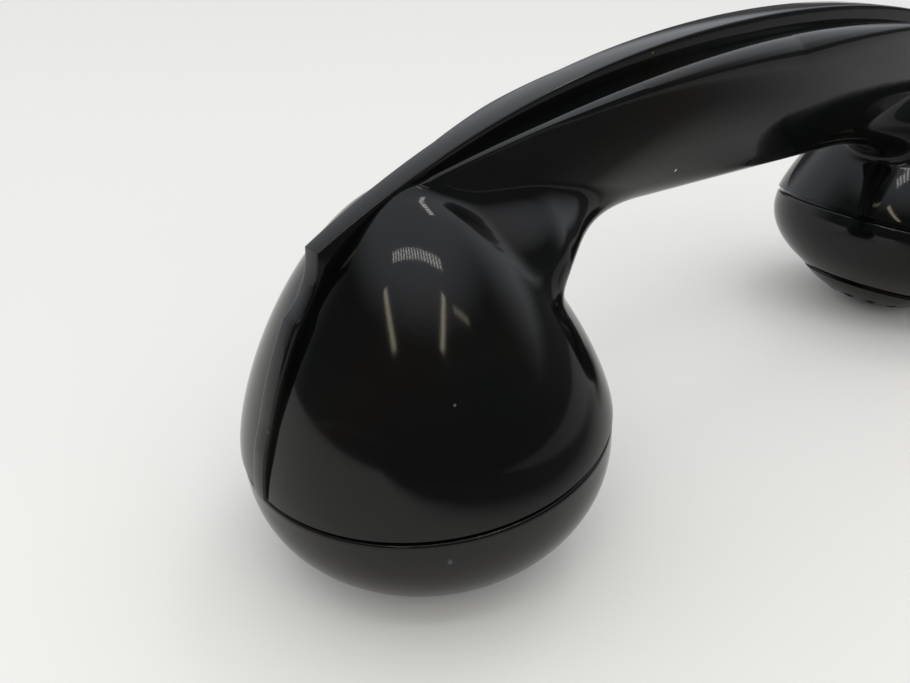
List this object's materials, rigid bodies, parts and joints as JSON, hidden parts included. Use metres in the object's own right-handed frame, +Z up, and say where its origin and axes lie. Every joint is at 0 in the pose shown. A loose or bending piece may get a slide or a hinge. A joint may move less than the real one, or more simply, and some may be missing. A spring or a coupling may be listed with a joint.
{
  "type": "telephone handset",
  "caption": "Black moulded telephone handset with a ridged back, screw-on receiver and transmitter caps and plug-in capsules; stands on its two caps.",
  "frame": {"origin": "centre of the bounding box's bottom face, on the surface that both caps stand on, midway between the cups", "axes": "+X along the handle towards the transmitter, +Y across the handle, +Z up towards the ridged back"},
  "size_m": [0.225, 0.064, 0.0845],
  "materials": {
    "bakelite": "polished black moulding with fine wear",
    "case_metal": "satin",
    "brass": "satin, slightly tarnished",
    "spring_bronze": "satin strip",
    "steel": "satin",
    "iron": "bare",
    "magnet_steel": "dark, ground faces",
    "copper": "enamelled winding",
    "fibre": "pressed fibre",
    "phenolic": "brown phenolic",
    "felt": "pressed felt",
    "oiled_silk": "thin, translucent",
    "carbon": "dull",
    "wire_cotton": "cotton braid",
    "rubber": "matt"
  },
  "bodies": {
    "handle": {"handset_body": "bakelite", "receiver_block": "phenolic", "receiver_block_screws": "steel", "receiver_terminal_plates": "brass", "receiver_terminal_screws": "brass", "transmitter_block": "phenolic", "transmitter_block_screws": "steel", "transmitter_terminal_plates": "brass", "transmitter_terminal_screws": "brass", "handle_wires": "wire_cotton", "cord_bush": "rubber", "cord_clamp": "steel", "cord_clamp_screws": "steel"},
    "receiver_capsule": {"receiver_case": "case_metal", "receiver_grille": "brass", "receiver_clamp_ring": "brass", "receiver_diaphragm": "steel", "receiver_pole_pieces": "iron", "receiver_magnet": "magnet_steel", "receiver_bobbins": "fibre", "receiver_coils": "copper", "receiver_insulator": "phenolic", "receiver_contact": "brass", "receiver_felt_ring": "felt"},
    "receiver_cap": {"receiver_cap": "bakelite"},
    "transmitter_capsule": {"transmitter_case": "case_metal", "transmitter_grille": "brass", "transmitter_membrane": "oiled_silk", "transmitter_clamp_ring": "brass", "transmitter_diaphragm": "case_metal", "transmitter_front_electrode": "carbon", "transmitter_chamber": "phenolic", "transmitter_granules": "carbon", "transmitter_back_electrode": "carbon", "transmitter_insulator": "phenolic", "transmitter_contact": "brass", "transmitter_felt_ring": "felt"},
    "transmitter_cap": {"transmitter_cap": "bakelite"},
    "receiver_centre_spring": {"receiver_centre_spring": "spring_bronze"},
    "receiver_case_spring": {"receiver_case_spring": "spring_bronze"},
    "transmitter_centre_spring": {"transmitter_centre_spring": "spring_bronze"},
    "transmitter_case_spring": {"transmitter_case_spring": "spring_bronze"}
  },
  "joints": [
    {"name": "receiver_capsule_slide", "type": "slide", "parent": "handle", "child": "receiver_capsule", "axis": [0.1097, 0, -0.994], "range_m": [0, 0.005]},
    {"name": "receiver_cap_turn", "type": "hinge", "parent": "receiver_capsule", "child": "receiver_cap", "pos_m": [-0.08031, 0, 0.02575], "axis": [0.1097, 0, -0.994], "range_deg": [0, 900]},
    {"name": "transmitter_capsule_slide", "type": "slide", "parent": "handle", "child": "transmitter_capsule", "axis": [-0.2402, 0, -0.9707], "range_m": [0, 0.005]},
    {"name": "transmitter_cap_turn", "type": "hinge", "parent": "transmitter_capsule", "child": "transmitter_cap", "pos_m": [0.08069, 0, 0.02575], "axis": [-0.2402, 0, -0.9707], "range_deg": [0, 900]},
    {"name": "receiver_centre_spring_flex", "type": "hinge", "parent": "handle", "child": "receiver_centre_spring", "pos_m": [-0.06722, 0, 0.03565], "axis": [0, -1, 0], "range_deg": [0, 14.5]},
    {"name": "receiver_case_spring_flex", "type": "hinge", "parent": "handle", "child": "receiver_case_spring", "pos_m": [-0.09207, 0.01, 0.03291], "axis": [0, 1, 0], "range_deg": [0, 14.5]},
    {"name": "transmitter_centre_spring_flex", "type": "hinge", "parent": "handle", "child": "transmitter_centre_spring", "pos_m": [0.06902, 0, 0.0373], "axis": [0, 1, 0], "range_deg": [0, 14.5]},
    {"name": "transmitter_case_spring_flex", "type": "hinge", "parent": "handle", "child": "transmitter_case_spring", "pos_m": [0.09329, 0.01, 0.03129], "axis": [0, -1, 0], "range_deg": [0, 14.5]}
  ],
  "couplings": [
    {"joint": "receiver_capsule_slide", "follows": "receiver_cap_turn", "m_per_rad": 0.000318},
    {"joint": "receiver_centre_spring_flex", "follows": "receiver_cap_turn", "ratio": 0.016},
    {"joint": "receiver_case_spring_flex", "follows": "receiver_cap_turn", "ratio": 0.016},
    {"joint": "transmitter_capsule_slide", "follows": "transmitter_cap_turn", "m_per_rad": 0.000318},
    {"joint": "transmitter_centre_spring_flex", "follows": "transmitter_cap_turn", "ratio": 0.016},
    {"joint": "transmitter_case_spring_flex", "follows": "transmitter_cap_turn", "ratio": 0.016}
  ]
}
